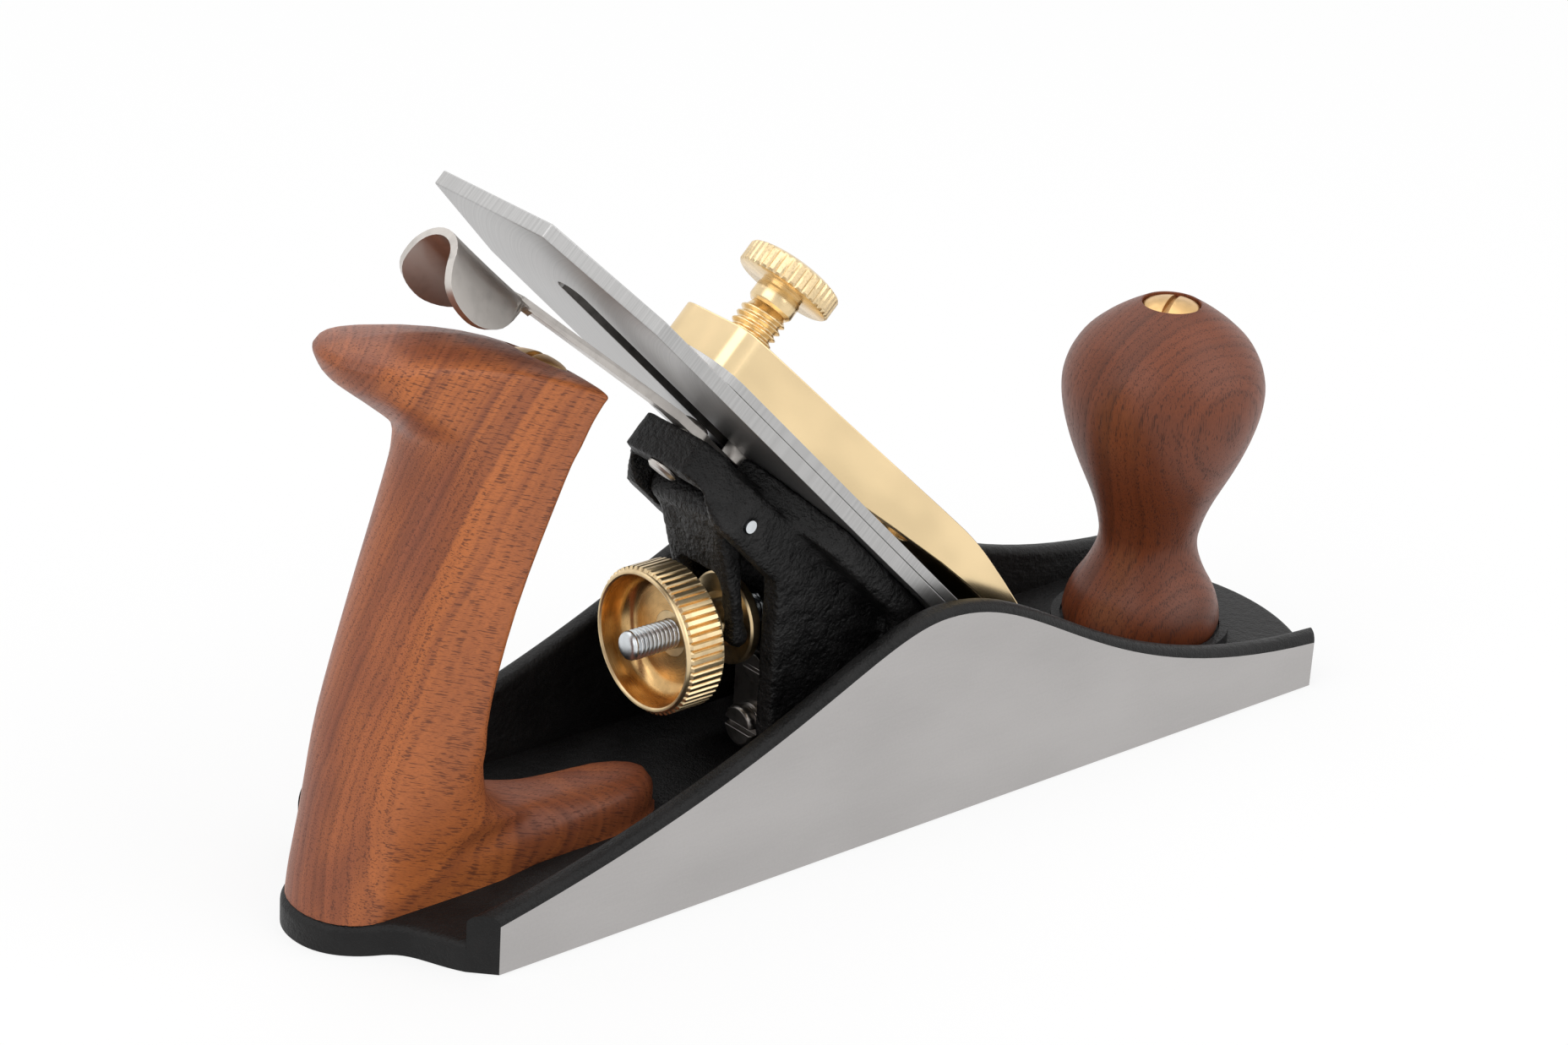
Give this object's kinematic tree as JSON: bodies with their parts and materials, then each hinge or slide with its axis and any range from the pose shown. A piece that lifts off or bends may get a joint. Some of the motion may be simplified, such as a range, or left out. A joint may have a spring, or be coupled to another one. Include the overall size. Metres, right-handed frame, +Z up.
{
  "type": "smoothing plane",
  "caption": "Metal smoothing plane: black casting with ground sides, steel iron on a sloped frog, brass lever cap and adjuster, hardwood handles.",
  "frame": {"origin": "middle of the overall length and width at the sole's underside", "axes": "+X towards the toe, +Y towards the left cheek of a user pushing the plane forward, +Z up"},
  "size_m": [0.252, 0.064, 0.1386],
  "materials": {
    "body_casting": "black japanned casting with ground outer faces",
    "frog_casting": "black japanned casting",
    "bright_steel": "ground and satin steel",
    "dark_steel": "plain oiled steel",
    "brass": "turned and polished brass",
    "handle_wood": "oiled orange-brown hardwood",
    "knob_wood": "oiled red-brown hardwood"
  },
  "bodies": {
    "plane": {"plane_body": "body_casting", "frog_screws": "dark_steel", "frog_washers": "dark_steel", "tote": "handle_wood", "tote_bolt": "bright_steel", "tote_nut": "brass", "knob": "knob_wood", "knob_bolt": "bright_steel", "knob_nut": "brass"},
    "frog_unit": {"frog": "frog_casting", "frog_adjust_plate": "dark_steel", "frog_plate_screw": "dark_steel", "yoke_pin": "bright_steel", "depth_stud": "bright_steel", "lever_cap_screw": "dark_steel", "lateral_rivet": "bright_steel"},
    "frog_adjuster": {"frog_adjust_screw": "dark_steel"},
    "yoke_lever": {"yoke": "frog_casting"},
    "adjuster_hub": {"depth_hub": "brass"},
    "adjuster_wheel": {"depth_wheel": "brass"},
    "lateral_arm": {"lateral_lever": "bright_steel", "roller_rivet": "bright_steel"},
    "roller": {"lateral_roller": "bright_steel"},
    "cap": {"lever_cap": "brass"},
    "thumb": {"thumb_screw": "brass"},
    "iron_set": {"iron": "bright_steel", "cap_iron": "bright_steel", "cap_iron_screw": "dark_steel"}
  },
  "joints": [
    {"name": "frog_slide", "type": "slide", "parent": "plane", "child": "frog_unit", "axis": [1, 0, 0], "range_m": [-0.00025, 0.001]},
    {"name": "frog_adjust_turn", "type": "hinge", "parent": "frog_unit", "child": "frog_adjuster", "pos_m": [-0.013, 0, 0.0145], "axis": [1, 0, 0], "range_deg": [-90, 360]},
    {"name": "hub_slide", "type": "slide", "parent": "frog_unit", "child": "adjuster_hub", "axis": [1, 0, 0], "range_m": [-0.001, 0.002]},
    {"name": "wheel_turn", "type": "hinge", "parent": "adjuster_hub", "child": "adjuster_wheel", "pos_m": [-0.0375, 0, 0.04], "axis": [1, 0, 0], "range_deg": [-720, 360]},
    {"name": "yoke_tilt", "type": "hinge", "parent": "frog_unit", "child": "yoke_lever", "pos_m": [-0.03339, 0, 0.06753], "axis": [0, 1, 0], "range_deg": [-4.2, 2.1]},
    {"name": "lateral_swing", "type": "hinge", "parent": "frog_unit", "child": "lateral_arm", "pos_m": [-0.0341, 0, 0.0845], "axis": [0.7071, 0, 0.7071], "range_deg": [-2.6, 2.6]},
    {"name": "roller_turn", "type": "hinge", "parent": "lateral_arm", "child": "roller", "pos_m": [-0.02385, 0, 0.07425], "axis": [0.7071, 0, 0.7071], "continuous": true},
    {"name": "cap_skew", "type": "hinge", "parent": "frog_unit", "child": "cap", "pos_m": [-0.00263, 0, 0.05303], "axis": [0.7071, 0, 0.7071], "range_deg": [-1.3, 1.3]},
    {"name": "thumb_turn", "type": "hinge", "parent": "cap", "child": "thumb", "pos_m": [-0.02173, 0, 0.10041], "axis": [0.7071, 0, 0.7071], "range_deg": [0, 720]},
    {"name": "iron_slide", "type": "slide", "parent": "cap", "child": "iron_set", "axis": [0.7071, 0, -0.7071], "range_m": [-0.0012, 0.0006]}
  ],
  "couplings": [
    {"joint": "frog_adjust_turn", "follows": "frog_slide", "rad_per_m": 6283.2},
    {"joint": "wheel_turn", "follows": "iron_slide", "rad_per_m": 10483},
    {"joint": "hub_slide", "follows": "iron_slide", "ratio": -1.6684},
    {"joint": "yoke_tilt", "follows": "iron_slide", "rad_per_m": 60.606},
    {"joint": "cap_skew", "follows": "lateral_swing", "ratio": -0.48333}
  ]
}
